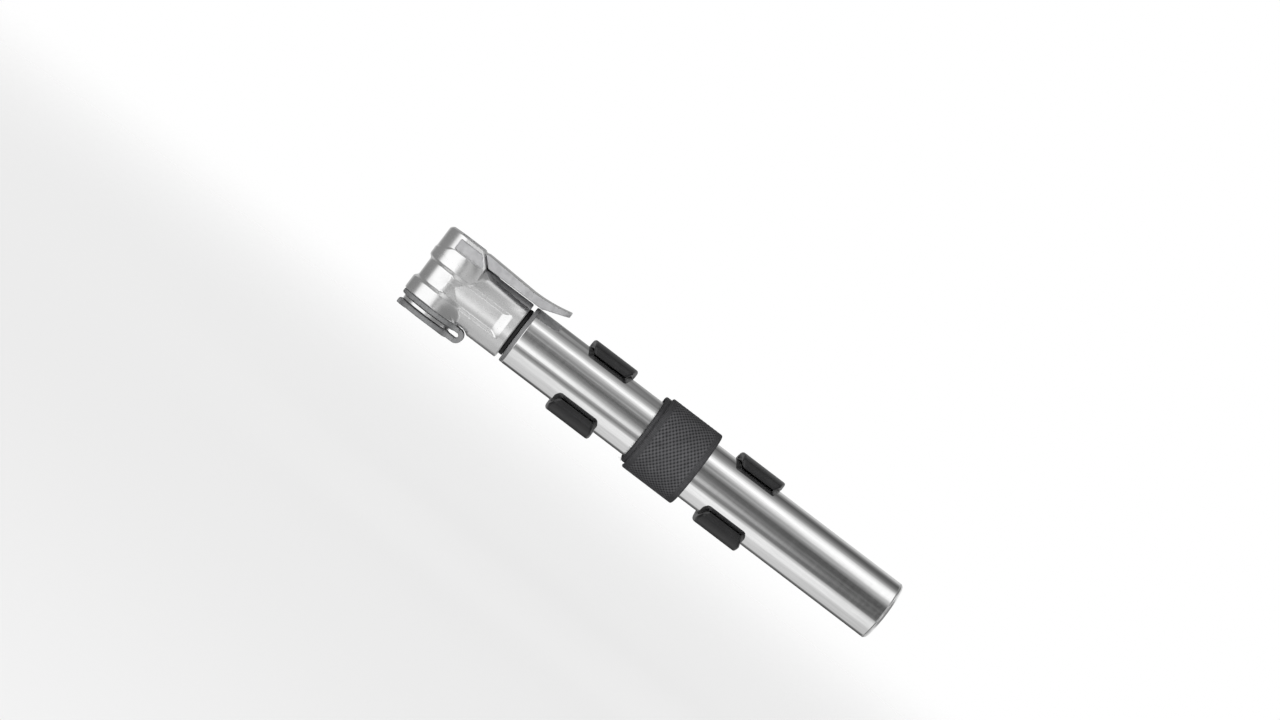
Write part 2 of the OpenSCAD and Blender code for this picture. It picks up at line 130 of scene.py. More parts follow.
class Tree:
    """Short way to write a node tree."""

    def __init__(self, tree):
        self.tree = tree
        tree.nodes.clear()

    def add(self, kind, inputs=None, **settings):
        node = self.tree.nodes.new(kind)
        for key, value in settings.items():
            setattr(node, key, value)
        for key, value in (inputs or {}).items():
            self.put(node.inputs[key], value)
        return node

    def put(self, socket, value):
        if isinstance(value, bpy.types.NodeSocket):
            self.tree.links.new(value, socket)
        elif isinstance(value, bpy.types.Node):
            self.tree.links.new(value.outputs[0], socket)
        else:
            socket.default_value = value

    def math(self, operation, a, b=0.0, clamp=False):
        return self.add("ShaderNodeMath", {0: a, 1: b}, operation=operation, use_clamp=clamp).outputs[0]

    def ramp(self, factor, stops, interpolation="LINEAR"):
        node = self.add("ShaderNodeValToRGB", {0: factor})
        ramp = node.color_ramp
        ramp.interpolation = interpolation
        while len(ramp.elements) < len(stops):
            ramp.elements.new(0.5)
        for element, (position, value) in zip(ramp.elements, stops):
            element.position = position
            element.color = value if len(value) == 4 else (*value, 1)
        return node.outputs[0]

    def spread(self, factor, low, high):
        """Factor 0…1 to low…high."""
        return self.add("ShaderNodeMapRange", {0: factor, 3: low, 4: high}).outputs[0]

    def coords(self, scale):
        """Object coordinates in metres, stretched by scale."""
        source = self.add("ShaderNodeTexCoord").outputs["Object"]
        return self.add("ShaderNodeMapping", {"Vector": source, "Scale": scale}).outputs[0]

    def noise(self, scale, detail=3.0):
        """Noise with grains about 1/scale metres long on each axis."""
        inputs = {"Vector": self.coords(scale), "Scale": 1.0, "Detail": detail, "Roughness": 0.5}
        return self.add("ShaderNodeTexNoise", inputs).outputs[0]

    def smooth(self, value, low, high):
        """0 up to low and 1 from high on, eased in between."""
        node = self.add("ShaderNodeMapRange", {0: value, 1: low, 2: high}, interpolation_type="SMOOTHSTEP")
        return node.outputs[0]

    def mix(self, share, a, b, blend_type="MIX"):
        node = self.add("ShaderNodeMix", {0: share, 6: a, 7: b}, data_type="RGBA", blend_type=blend_type)
        return node.outputs[2]


def new_material(name):
    made = bpy.data.materials.new(name)
    made.use_nodes = True
    return made, Tree(made.node_tree)


def linear(display):
    """Display value 0…255 to scene-linear, by the curve of sRGB."""
    v = display / 255
    return v / 12.92 if v <= 0.04045 else ((v + 0.055) / 1.055) ** 2.4


def grey(value):
    return (value, value, value, 1)


# Where on the noise a material leaves its low tone and reaches its high one, how much finer its second grain
# is unless it names one, and the first grain's share in the relief.
TONE_STOPS = (0.3, 0.7)
FINER = 4
FIRST_SHARE = 0.5


def surface(name, low, high, grain, rough, metallic, bump, bump_mm, fine=None, specular=0.5):
    """Material whose colour runs between two tones and whose gloss and relief follow the grain.

    grain: noise scale on each axis, per metre. rough: lowest and highest roughness. bump and bump_mm: the
    relief's strength and height. fine: second, finer grain.
    """
    made, t = new_material(name)
    base = t.noise(grain)
    second = t.noise(fine or tuple(FINER * g for g in grain), 2.0)
    shader = t.add("ShaderNodeBsdfPrincipled", {"Metallic": metallic, "Specular IOR Level": specular})
    t.put(shader.inputs["Base Color"], t.ramp(base, list(zip(TONE_STOPS, (low, high)))))
    t.put(shader.inputs["Roughness"], t.spread(second, *rough))
    mixed = t.math("ADD", t.math("MULTIPLY", base, FIRST_SHARE), second)
    relief = t.add("ShaderNodeBump", {"Strength": bump, "Distance": bump_mm * MM, "Height": mixed})
    t.put(shader.inputs["Normal"], relief)
    t.add("ShaderNodeOutputMaterial", {"Surface": shader})
    return made


# ---------- studio ----------

# Light that a polished tube along X reflects, by the angle round X from -Y towards +Z: display values for
# rays whose X part is 0 or less, LEAN, and twice LEAN or more. The camera sees the first in the head, the
# second in the tube's middle and the third in its tail.
STUDIO = [
    (175, 150, 160, 160), (160, 120, 190, 200), (147, 96, 164, 177), (132, 104, 118, 120), (120, 145, 80, 84),
    (111, 139, 100, 88), (102, 110, 118, 108), (90, 148, 142, 160), (80, 169, 189, 226), (73, 215, 230, 246),
    (64, 252, 254, 255), (55, 184, 222, 255), (49, 155, 182, 250), (38, 128, 138, 188), (32, 142, 160, 160),
    (27, 108, 130, 130), (17, 95, 90, 72), (6, 128, 98, 60), (-4, 172, 122, 82), (-9, 202, 122, 64),
    (-14, 238, 152, 54), (-20, 254, 174, 56), (-25, 248, 162, 58), (-30, 172, 128, 68), (-38, 120, 120, 92),
    (-47, 150, 172, 197), (-55, 217, 234, 222), (-77, 214, 232, 216), (-90, 196, 203, 187),
    (-127, 190, 196, 184), (-140, 87, 106, 100), (-162, 62, 66, 60),
]
LEAN = 0.07
# The table only holds straight ahead, where a ray's X part lies between these two fades.
AHEAD_FROM = (-0.055, -0.03)
AHEAD_TO = (0.142, 0.19)
# Side walls everywhere else, by the compass angle from -Y towards +X: display values.
WALLS = [
    (-180, 150), (-155, 190), (-138, 128), (-82, 128), (-71, 252), (-2, 254), (9, 206), (20, 180), (32, 130),
    (88, 124), (112, 225), (150, 200), (180, 150),
]
# Display value above and below, and the sines of the height between which it takes over from the walls.
OVERHEAD = 130
OVERHEAD_FADE = (0.5, 0.85)
# Radiance that a display value of 255 stands for.
STUDIO_GAIN = 1.18
# Matte surfaces are lit by a soft light in front, a weaker one behind and a dim surround: the cosines to -Y
# between which each light fades, and the radiances.
KEY_FADE = (0.6, 0.95)
FILL_FADE = (-0.9, -0.5)
KEY = 2.0
FILL = 1.2
AMBIENT = 0.12
# Floor, in metres: how far it lies below the object, half its side, and the distances between which it fades
# out. Then its own tone and its glow.
FLOOR_DROP = 0.06
FLOOR_HALF = 3.0
FLOOR_FADE = (0.25, 1.1)
FLOOR_TONE = 0.5
FLOOR_GLOW = 0.66


def add_world():
    """What polished metal reflects, what lights matte surfaces, and the white that the camera sees."""
    world = bpy.data.worlds.new("studio")
    bpy.context.scene.world = world
    world.use_nodes = True
    t = Tree(world.node_tree)
    direction = t.add("ShaderNodeTexCoord").outputs["Generated"]
    part = t.add("ShaderNodeSeparateXYZ", {0: direction})
    side = part.outputs["X"]
    front = t.math("MULTIPLY", part.outputs["Y"], -1.0)

    def around(a, b, table, column):
        """One column of a table, by the angle from b's direction towards a's."""
        turn = t.math("ADD", t.math("DIVIDE", t.math("ARCTAN2", a, b), 2 * math.pi), 0.5)
        stops = sorted((0.5 + row[0] / 360, grey(linear(row[column]))) for row in table)
        return t.ramp(turn, stops, "EASE")

    ramps = [around(part.outputs["Z"], front, STUDIO, column) for column in (1, 2, 3)]
    near = t.math("DIVIDE", side, LEAN, True)
    far = t.math("SUBTRACT", t.math("DIVIDE", side, LEAN), 1.0, True)
    ahead = t.mix(far, t.mix(near, ramps[0], ramps[1]), ramps[2])
    height = t.math("ABSOLUTE", part.outputs["Z"])
    walls = t.mix(t.smooth(height, *OVERHEAD_FADE), around(side, front, WALLS, 1), grey(linear(OVERHEAD)))
    before_end = t.math("SUBTRACT", 1.0, t.smooth(side, *AHEAD_TO))
    inside = t.math("MULTIPLY", t.smooth(side, *AHEAD_FROM), before_end)
    studio = t.add("ShaderNodeBackground", {0: t.mix(inside, walls, ahead), 1: STUDIO_GAIN})
    matte = t.mix(t.smooth(front, *FILL_FADE), grey(FILL), grey(AMBIENT))
    matte = t.mix(t.smooth(front, *KEY_FADE), matte, grey(KEY))
    soft = t.add("ShaderNodeBackground", {0: matte, 1: 1.0})
    backdrop = t.add("ShaderNodeBackground", {0: grey(1), 1: 1.0})
    ray = t.add("ShaderNodeLightPath").outputs
    lit = t.add("ShaderNodeMixShader", {0: ray["Is Diffuse Ray"], 1: studio, 2: soft})
    shown = t.add("ShaderNodeMixShader", {0: ray["Is Camera Ray"], 1: lit, 2: backdrop})
    t.add("ShaderNodeOutputWorld", {"Surface": shown})


def add_floor():
    """Pale floor that fades into the white backdrop."""
    middle = (np.array(cad_box[0]) + np.array(cad_box[1])) / 2
    z = cad_box[0][2] - FLOOR_DROP
    corners = [
        (middle[0] + a * FLOOR_HALF, middle[1] + b * FLOOR_HALF, z)
        for a, b in ((-1, -1), (1, -1), (1, 1), (-1, 1))
    ]
    mesh = bpy.data.meshes.new("floor")
    mesh.from_pydata(corners, [], [(0, 1, 2, 3)])
    floor = bpy.data.objects.new("floor", mesh)
    bpy.context.scene.collection.objects.link(floor)
    made, t = new_material("floor_paper")
    spot = t.add("ShaderNodeTexCoord").outputs["Object"]
    offset = t.add("ShaderNodeVectorMath", {0: spot, 1: (middle[0], middle[1], z)}, operation="SUBTRACT")
    away = t.add("ShaderNodeVectorMath", {0: offset}, operation="LENGTH").outputs["Value"]
    paper = t.add("ShaderNodeBsdfDiffuse", {0: grey(FLOOR_TONE)})
    glow = t.add("ShaderNodeEmission", {0: grey(1), 1: FLOOR_GLOW})
    sheet = t.add("ShaderNodeAddShader", {0: paper, 1: glow})
    clear = t.add("ShaderNodeBsdfTransparent")
    shown = t.add("ShaderNodeMixShader", {0: t.smooth(away, *FLOOR_FADE), 1: sheet, 2: clear})
    t.add("ShaderNodeOutputMaterial", {"Surface": shown})
    mesh.materials.append(made)
    floor.visible_glossy = False
    floor.visible_diffuse = False


add_world()
add_floor()
bpy.context.scene.view_settings.view_transform = "Standard"


# ---------- materials ----------

polished = surface(
    "polished_aluminium", (0.84, 0.84, 0.84), (0.93, 0.93, 0.93), (90, 900, 900), (0.05, 0.12), 1.0,
    0.25, 0.006, fine=(900, 160, 160),
)
head_metal = surface(
    "head_aluminium", (0.84, 0.84, 0.84), (0.92, 0.92, 0.92), (160, 160, 160), (0.22, 0.3), 1.0,
    0.25, 0.01, fine=(1500, 1500, 1500),
)
cast_metal = surface(
    "cast_alloy", (0.52, 0.52, 0.53), (0.66, 0.66, 0.67), (500, 500, 500), (0.45, 0.6), 0.35, 0.5, 0.03,
    fine=(4200, 4200, 4200),
)
satin = surface(
    "satin_aluminium", (0.6, 0.6, 0.61), (0.7, 0.7, 0.71), (200, 1800, 1800), (0.25, 0.36), 1.0, 0.2, 0.006,
)
steel = surface(
    "bright_steel", (0.55, 0.55, 0.57), (0.68, 0.68, 0.7), (120, 1200, 1200), (0.14, 0.26), 1.0, 0.15, 0.004,
)
black_steel = surface(
    "black_steel", (0.035, 0.035, 0.037), (0.06, 0.06, 0.062), (900, 900, 900), (0.3, 0.45), 0.6, 0.3, 0.01,
)
grey_rubber = surface(
    "grey_rubber", (0.26, 0.263, 0.267), (0.33, 0.333, 0.337), (700, 700, 160), (0.5, 0.66), 0.0, 0.5, 0.05,
    fine=(2600, 2600, 500), specular=0.4,
)
black_rubber = surface(
    "black_rubber", (0.010, 0.010, 0.011), (0.018, 0.018, 0.019), (600, 600, 600), (0.45, 0.6), 0.0,
    0.4, 0.03,
)
black_plastic = surface(
    "black_plastic", (0.012, 0.012, 0.013), (0.02, 0.02, 0.021), (350, 350, 350), (0.26, 0.4), 0.0, 0.4, 0.02,
    fine=(2500, 2500, 2500),
)
black_nylon = surface(
    "black_nylon", (0.014, 0.014, 0.015), (0.024, 0.024, 0.025), (400, 400, 400), (0.35, 0.5), 0.0, 0.3, 0.02,
)
white_nylon = surface(
    "white_nylon", (0.66, 0.65, 0.62), (0.76, 0.75, 0.72), (400, 400, 400), (0.35, 0.5), 0.0, 0.3, 0.02,
)
grey_nylon = surface(
    "grey_nylon", (0.24, 0.24, 0.245), (0.3, 0.3, 0.305), (1500, 300, 300), (0.4, 0.55), 0.0, 0.3, 0.02,
)


# ---------- mesh code ----------

def new_mesh(name, points, faces, materials, body, stands_for, normals=None):
    """A piece from points in the pump's millimetres, attached to body unless body is None."""
    mesh = bpy.data.meshes.new(name)
    points = place(points)
    faces = np.asarray(faces, np.int32)
    sides = faces.shape[1]
    mesh.vertices.add(len(points))
    mesh.vertices.foreach_set("co", points.astype(np.float32).ravel())
    mesh.loops.add(faces.size)
    mesh.loops.foreach_set("vertex_index", faces.ravel())
    mesh.polygons.add(len(faces))
    mesh.polygons.foreach_set("loop_start", np.arange(0, faces.size, sides, dtype=np.int32))
    mesh.update(calc_edges=True)
    mesh.validate()
    mesh.shade_smooth()
    for m in materials:
        mesh.materials.append(m)
    if normals is not None:
        mesh.normals_split_custom_set_from_vertices(normals.tolist())
    piece = bpy.data.objects.new(name, mesh)
    bpy.context.scene.collection.objects.link(piece)
    if stands_for:
        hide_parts(*stands_for)
    if body:
        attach(piece, body)
    return piece


# Turned outlines: the steps of a corner's arc, the distance of the points that hold it, the half angle above
# which a corner counts as straight, the most of an edge that one arc takes, and the sides of a turned piece.
ARC_STEPS = 5
HOLD = 0.12
STRAIGHT = 1.55
EDGE_SHARE = 0.45
LATHE_SIDES = 192


def rounded(corners):
    """A closed outline (a, b, radius) with its corners turned into arcs, held by a point on both sides."""
    out = []
    for i, (a, b, radius) in enumerate(corners):
        here = np.array([a, b], float)
        to_prev = np.array(corners[i - 1][:2], float) - here
        to_next = np.array(corners[(i + 1) % len(corners)][:2], float) - here
        len_prev, len_next = np.linalg.norm(to_prev), np.linalg.norm(to_next)
        to_prev, to_next = to_prev / len_prev, to_next / len_next
        half = math.acos(max(-1, min(1, float(to_prev @ to_next)))) / 2
        if radius <= 0 or half > STRAIGHT:
            out.append(here)
            continue
        back = min(radius / math.tan(half), EDGE_SHARE * len_prev, EDGE_SHARE * len_next)
        radius = back * math.tan(half)
        inward = (to_prev + to_next) / np.linalg.norm(to_prev + to_next)
        centre = here + inward * radius / math.sin(half)
        start, end = here + to_prev * back, here + to_next * back
        if back + HOLD < 0.5 * len_prev:
            out.append(start + to_prev * HOLD)
        a0 = math.atan2(*(start - centre)[::-1])
        a1 = math.atan2(*(end - centre)[::-1])
        sweep = (a1 - a0 + math.pi) % (2 * math.pi) - math.pi
        for k in range(ARC_STEPS + 1):
            turn = a0 + sweep * k / ARC_STEPS
            out.append(centre + radius * np.array([math.cos(turn), math.sin(turn)]))
        if back + HOLD < 0.5 * len_next:
            out.append(end + to_next * HOLD)
    return np.array(out)


def lathe(name, corners, materials, body, stands_for, axis="x", centre=(0, 0, 0)):
    """A ring-shaped piece: a closed outline (along the axis, radius, corner radius) turned round the axis."""
    profile = rounded(corners)
    around, count = LATHE_SIDES, len(profile)
    turn = np.arange(around) * 2 * math.pi / around
    along = np.repeat(profile[None, :, 0], around, 0)
    out_a = profile[None, :, 1] * np.cos(turn)[:, None]
    out_b = profile[None, :, 1] * np.sin(turn)[:, None]
    if axis == "x":
        points = np.stack([along, out_a, out_b], -1)
    else:
        points = np.stack([out_a, out_b, along], -1)
    i, j = np.meshgrid(np.arange(around), np.arange(count), indexing="ij")
    i2, j2 = (i + 1) % around, (j + 1) % count
    faces = np.stack([i * count + j, i2 * count + j, i2 * count + j2, i * count + j2], -1).reshape(-1, 4)
    points = points.reshape(-1, 3) + np.array(centre, float)
    x, r = profile[:, 0], profile[:, 1]
    area = np.sum(x * np.roll(r, -1) - np.roll(x, -1) * r)
    if area > 0:
        faces = faces[:, ::-1]
    return new_mesh(name, points, faces, materials, body, stands_for)


# Distance fields: negative inside, in millimetres. rmin joins two solids with a fillet and rmax trims one
# with a round, and the last argument is its radius. A sloping face's term is multiplied by about the cosine
# of its slope, so that it stays a distance.

def rmin(a, b, r=0.0):
    if np.all(r == 0):
        return np.minimum(a, b)
    return np.maximum(r, np.minimum(a, b)) - np.hypot(np.maximum(r - a, 0), np.maximum(r - b, 0))


def rmax(a, b, r=0.0):
    return -rmin(-a, -b, r)


def disc(x, y, z, r, low, high, axis="z", edge=0.0):
    """A cylinder round the axis through the origin."""
    span, p, q = {"z": (z, x, y), "x": (x, y, z), "y": (y, x, z)}[axis]
    return rmax(np.hypot(p, q) - r, np.abs(span - (low + high) / 2) - (high - low) / 2, edge)


def block(x, y, z, low, high, edge=0.0):
    """A box."""
    sides = [np.abs(v - (a + b) / 2) - (b - a) / 2 for v, a, b in zip((x, y, z), low, high)]
    return rmax(rmax(sides[0], sides[1], edge), sides[2], edge)


def outline(a, b, points):
    """Distance to a closed polygon in the plane of a and b."""
    best = np.full(np.broadcast(a, b).shape, 1e9)
    sign = np.ones(best.shape)
    for i, (x1, y1) in enumerate(points):
        x0, y0 = points[i - 1]
        ex, ey = x0 - x1, y0 - y1
        wx, wy = a - x1, b - y1
        t = np.clip((wx * ex + wy * ey) / (ex * ex + ey * ey), 0, 1)
        best = np.minimum(best, (wx - ex * t) ** 2 + (wy - ey * t) ** 2)
        above, below, left = b >= y1, b < y0, ex * wy > ey * wx
        sign = np.where((above & below & left) | (~above & ~below & ~left), -sign, sign)
    return sign * np.sqrt(best)


# A skin's points are moved onto it in a few passes, at most this share of a cell away from home. Slopes are
# measured over twice PROBE, and their squares count as at least LEAST_SLOPE.
NET_PASSES = 4
NET_REACH = 0.75
PROBE = 0.02
LEAST_SLOPE = 0.2


def surface_net(field, low, high, step):
    """Points and faces of a field's skin, the points then moved onto the skin, and its normals."""
    axes = [np.arange(a, b + step, step) for a, b in zip(low, high)]
    value = field(*np.meshgrid(*axes, indexing="ij"))
    shape = [n - 1 for n in value.shape]
    total, count = np.zeros(shape + [3]), np.zeros(shape)
    for axis in range(3):
        u, v = [m for m in range(3) if m != axis]
        for du in (0, 1):
            for dv in (0, 1):
                here = [slice(0, n) for n in shape]
                here[u], here[v] = slice(du, shape[u] + du), slice(dv, shape[v] + dv)
                there = list(here)
                there[axis] = slice(1, shape[axis] + 1)
                a, b = value[tuple(here)], value[tuple(there)]
                cross = (a < 0) != (b < 0)
                total[..., axis] += np.where(cross, a / np.where(cross, a - b, 1), 0)
                total[..., u] += du * cross
                total[..., v] += dv * cross
                count += cross
    active = count > 0
    index = np.full(shape, -1)
    index[active] = np.arange(active.sum())
    points = (np.argwhere(active) + total[active] / count[active][:, None]) * step + np.array(low)
    faces = []
    for axis in range(3):
        u, v = (axis + 1) % 3, (axis + 2) % 3
        here = [slice(0, n) for n in shape]
        here[u], here[v] = slice(1, shape[u]), slice(1, shape[v])
        there = list(here)
        there[axis] = slice(1, shape[axis] + 1)
        a, b = value[tuple(here)], value[tuple(there)]
        at = np.argwhere((a < 0) != (b < 0))
        inside_low = (a < 0)[tuple(at.T)]
        at[:, u] += 1
        at[:, v] += 1
        corner = []
        for du, dv in ((1, 1), (0, 1), (0, 0), (1, 0)):
            cell = at.copy()
            cell[:, u] -= du
            cell[:, v] -= dv
            corner.append(index[tuple(cell.T)])
        quad = np.stack(corner, -1)
        faces.append(np.where(inside_low[:, None], quad, quad[:, ::-1]))
    faces = np.concatenate(faces)

    def slope(p):
        out = []
        for axis in range(3):
            ahead, behind = p.copy(), p.copy()
            ahead[:, axis] += PROBE
            behind[:, axis] -= PROBE
            out.append((field(*ahead.T) - field(*behind.T)) / (2 * PROBE))
        return np.stack(out, -1)

    home, reach = points.copy(), NET_REACH * step
    for _ in range(NET_PASSES):
        g = slope(points)
        move = field(*points.T)[:, None] * g / np.maximum((g * g).sum(1), LEAST_SLOPE)[:, None]
        points = home + np.clip(points - move - home, -reach, reach)
    g = slope(points)
    normals = g / np.maximum(np.linalg.norm(g, axis=1), 1e-6)[:, None]
    return points, faces, normals


def grown(name, field, low, high, step, materials, body, stands_for, pick=None):
    """A piece grown from a distance field. pick(middles, normals) gives each face's material."""
    points, faces, normals = surface_net(field, low, high, step)
    piece = new_mesh(name, points, faces, materials, body, stands_for, normals)
    if pick is not None:
        mesh = piece.data
        middle = np.zeros(len(mesh.polygons) * 3, np.float32)
        mesh.polygons.foreach_get("center", middle)
        facing = np.zeros(len(mesh.polygons) * 3, np.float32)
        mesh.polygons.foreach_get("normal", facing)
        middle = (middle.reshape(-1, 3) - ORIGIN) / MM
        mesh.polygons.foreach_set("material_index", pick(middle, facing.reshape(-1, 3)).astype(np.int32))
    return piece


# ---------- head ----------

# Nozzle column: its top slopes down towards the front, under the ears.
NOZZLE_X = -29.3
COLUMN_R = 11.4
FOOT_Z = -10.6
LEDGE_X, LEDGE_Z, LEDGE_SLOPE = -33.8, 10.3, 0.48
# Neck, with a small shoulder on each side that sinks in towards the seam.
NECK_R = 11.3
NECK_END = -1.4
SHOULDER_R = 4.2
SHOULDER = (6.0, 6.3)
SHOULDER_FROM, SHOULDER_RUN = -21.8, 19.8
# Fillet between the two: its least radius, what it gains over a height from the axis, up or down, and the
# short run above the foot over which that gain sets in.
FILLET, FILLET_GAIN, FILLET_HEIGHT = 0.3, 2.4, 9
FILLET_FOOT, FILLET_RUN = -10.2, 3
# Waist: a band cut to one depth, with sloping edges and a sloping end, and the lengths of their gradients.
WAIST_DEPTH = 1.15
WAIST_TOP, WAIST_FOOT, WAIST_END = 3.9, -5.4, -5.1
END_SLOPE = 2.1
EDGE_GRADIENT, END_GRADIENT = 1.41, 2.33
# Middle of the dust cap's bend, and the room that the neck leaves for it.
BEND_X, BEND_Z = -16.5, -13.35
BEND_ROOM = 3.4
# Ears: a round plan that runs on towards the tail, an outline in x and z, and a sunken panel on each side.
EAR_R, EAR_END, EAR_HALF = 11.2, -17.3, 10.1
EAR_SIDE = [
    (-50, 6.5), (-21.7, 6.5), (-21.7, 11.4), (-25.1, 15.1), (-26, 16), (-39.5, 16), (-40.9, 14.8),
    (-50, 14.8),
]
EAR_PANEL = [(-34.6, 10.6), (-23.1, 10.6), (-23.1, 11.6), (-25.8, 14.5), (-34.6, 14.5)]
PANEL_Y = 9.6
# Lever slot and cam pocket, both open at the top, and the pin's hole, blind in the ear towards -Y.
SLOT_FRONT, SLOT_HALF = -35.5, 6.2
SLOT_END, SLOT_FLOOR = -21.4, 10.7
POCKET_END, POCKET_FLOOR = -23.7, 6.9
PIN_X, PIN_Z = -30.3, 12.0
PIN_R = 1.5
PIN_HOLE = (-8.7, 20)
OPEN = 40
# Bores (radius, start, end): upright for plunger and gasket, lengthways for barrel, check valve and air.
UPRIGHT_BORES = [(6.5, 0.5, 8.4), (7.0, -20, 1.1)]
LENGTHWAYS_BORES = [(8.52, -8, 5), (6.52, -10, -7), (3.6, -15, -8)]
# Round groove of the barrel's seal: its place, the radius of its middle, and its own radius.
GROOVE_X, GROOVE_R, GROOVE_SIZE = -4.4, 9.25, 0.78


def head_skin(x, y, z, inset=0.0):
    """Outside of the head without its waist, ears and bores. inset draws the column and the neck in."""
    column = rmax(np.hypot(x - NOZZLE_X, y) - COLUMN_R + inset, FOOT_Z - z, 0.45)
    ledge = LEDGE_Z + LEDGE_SLOPE * np.minimum(x - LEDGE_X, 0)
    column = rmax(column, (z - ledge) * 0.9, 0.2)
    along = np.clip((x - SHOULDER_FROM) / SHOULDER_RUN, 0, 1)
    # one side's section: the neck's circle joined tangentially to its shoulder's
    reach = NECK_R - SHOULDER_R
    size = 1 - along * (1 - reach / math.hypot(*SHOULDER))
    cy, cz = SHOULDER[0] * size, SHOULDER[1] * size
    ay = np.abs(y)
    gap = np.hypot(cy, cz)
    p, q = (ay * cy + z * cz) / gap, np.abs(ay * cz - z * cy) / gap
    slope = np.minimum(reach / gap, 1)
    flat = np.sqrt(np.maximum(1 - slope * slope, 0))
    k = -slope * q + flat * p
    on_neck, on_shoulder = np.hypot(p, q) - NECK_R, np.hypot(p - gap, q) - SHOULDER_R
    between = q * flat + p * slope - NECK_R
    section = np.where(k < 0, on_neck, np.where(k > flat * gap, on_shoulder, between))
    neck = rmax(section + inset, NOZZLE_X - x)
    neck = rmax(neck, x - NECK_END, 0.5)
    neck = rmax(neck, -rmax(x - BEND_X, z - FOOT_Z), 0.35)
    neck = rmax(neck, BEND_ROOM - np.hypot(x - BEND_X, z - BEND_Z), 0.3)
    # the two round surfaces touch at the axis' height and meet ever more steeply away from it
    above_foot = np.clip((z - FILLET_FOOT) / FILLET_RUN, 0, 1)
    fillet = FILLET + FILLET_GAIN * np.clip(np.abs(z) / FILLET_HEIGHT, 0, 1) * above_foot
    return rmin(column, neck, fillet)


def head_field(x, y, z):
    skin = head_skin(x, y, z)
    deep = rmax(-head_skin(x, y, z, WAIST_DEPTH), (z - WAIST_TOP - skin) / EDGE_GRADIENT, 0.25)
    deep = rmax(deep, (WAIST_FOOT - z - skin) / EDGE_GRADIENT, 0.25)
    deep = rmax(deep, (x - WAIST_END - END_SLOPE * skin) / END_GRADIENT, 0.25)
    body = rmax(skin, -deep, 0.25)
    # ears
    run = block(x, y, z, (NOZZLE_X, -OPEN, -OPEN), (EAR_END, OPEN, OPEN))
    plan = rmax(rmin(np.hypot(x - NOZZLE_X, y) - EAR_R, run), np.abs(y) - EAR_HALF, 0.5)
    ears = rmax(plan, outline(x, z, EAR_SIDE), 0.35)
    solid = rmin(body, ears, 0.6)
    panel = rmax(outline(x, z, EAR_PANEL), PANEL_Y - np.abs(y), 0.2)
    solid = rmax(solid, -panel, 0.12)
    # lever slot, cam pocket, pin hole
    lever_slot = block(x, y, z, (SLOT_FRONT, -SLOT_HALF, SLOT_FLOOR), (SLOT_END, SLOT_HALF, OPEN))
    pocket = block(x, y, z, (SLOT_FRONT, -SLOT_HALF, POCKET_FLOOR), (POCKET_END, SLOT_HALF, OPEN))
    solid = rmax(solid, -np.minimum(lever_slot, pocket), 0.3)
    solid = rmax(solid, -disc(x - PIN_X, y, z - PIN_Z, PIN_R, *PIN_HOLE, "y"), 0.15)
    # bores
    upright = np.minimum.reduce([disc(x - NOZZLE_X, y, z, *bore) for bore in UPRIGHT_BORES])
    solid = rmax(solid, -upright, 0.2)
    lengthways = np.minimum.reduce([disc(x, y, z, *bore, "x") for bore in LENGTHWAYS_BORES])
    groove = np.hypot(x - GROOVE_X, np.hypot(y, z) - GROOVE_R) - GROOVE_SIZE
    return rmax(solid, -np.minimum(lengthways, groove), 0.15)


# A face belongs to a panel within PANEL_NEAR of its floor and MARGIN round its outline, if it faces sideways
# at least this much. It is inside the nozzle, the barrel's bore or the slot within the limits that follow.
PANEL_NEAR, MARGIN, SIDEWAYS = 0.15, 0.2, 0.8
NOZZLE_IN_R, NOZZLE_IN_TOP = 7.1, 8.6
BORE_IN_R, BORE_IN_X = 8.6, -16
SLOT_IN_X, SLOT_IN_Y, SLOT_IN_Z = -35.6, 6.25, 6.8


def head_materials(middle, facing):
    """Cast metal on the panels and inside, polished metal elsewhere."""
    x, y, z = middle.T
    low, high = np.min(EAR_PANEL, axis=0) - MARGIN, np.max(EAR_PANEL, axis=0) + MARGIN
    cast = (np.abs(np.abs(y) - PANEL_Y) < PANEL_NEAR) & (np.abs(facing[:, 1]) > SIDEWAYS)
    cast &= (x > low[0]) & (x < high[0]) & (z > low[1]) & (z < high[1])
    cast |= (np.hypot(x - NOZZLE_X, y) < NOZZLE_IN_R) & (z < NOZZLE_IN_TOP)
    cast |= (np.hypot(y, z) < BORE_IN_R) & (x > BORE_IN_X)
    cast |= (np.abs(y) < SLOT_IN_Y) & (x > SLOT_IN_X) & (z > SLOT_IN_Z)
    return cast


grown("head", head_field, (-41.5, -12.2, -11.8), (-0.8, 12.2, 16.8), 0.3, [head_metal, cast_metal], "pump",
      ("head_body",), head_materials)


# ---------- thumb lever ----------

LEVER_TIP_X = 11.0
# Its top: lowest at ARCH_X, it rises towards the tip, and a little towards the pin over ARCH_RUN.
ARCH_X, ARCH_Z = -4, 15
ARCH_RISE, ARCH_BACK, ARCH_RUN = 2, 0.8, 19
# Half its width, what it loses of it over a run, and how the tip's corners round off.
LEVER_HALF, TAPER = 9, 2.2
TAPER_X, TAPER_RUN = -6, 15
TIP_RUN, TIP_ROUND = 2.2, 0.45
LEVER_SIDE = [
    (-24.6, 20), (-24.6, 15.1), (-21.3, 11.85), (1.7, 11.85), (2.9, 12.35), (LEVER_TIP_X, 15.2),
    (LEVER_TIP_X, 20),
]
LEVER_HUB = [(-30.3, 11.85), (-17.3, 11.85), (-17.3, 15), (-24.6, 15.7), (-31.3, 15.7)]
LEVER_HOLLOW = [(-15.7, 8), (-15.7, 13.6), (-1, 13.6), (0.5, 8)]
LEVER_WALL = 1.5
HUB_HALF = 6
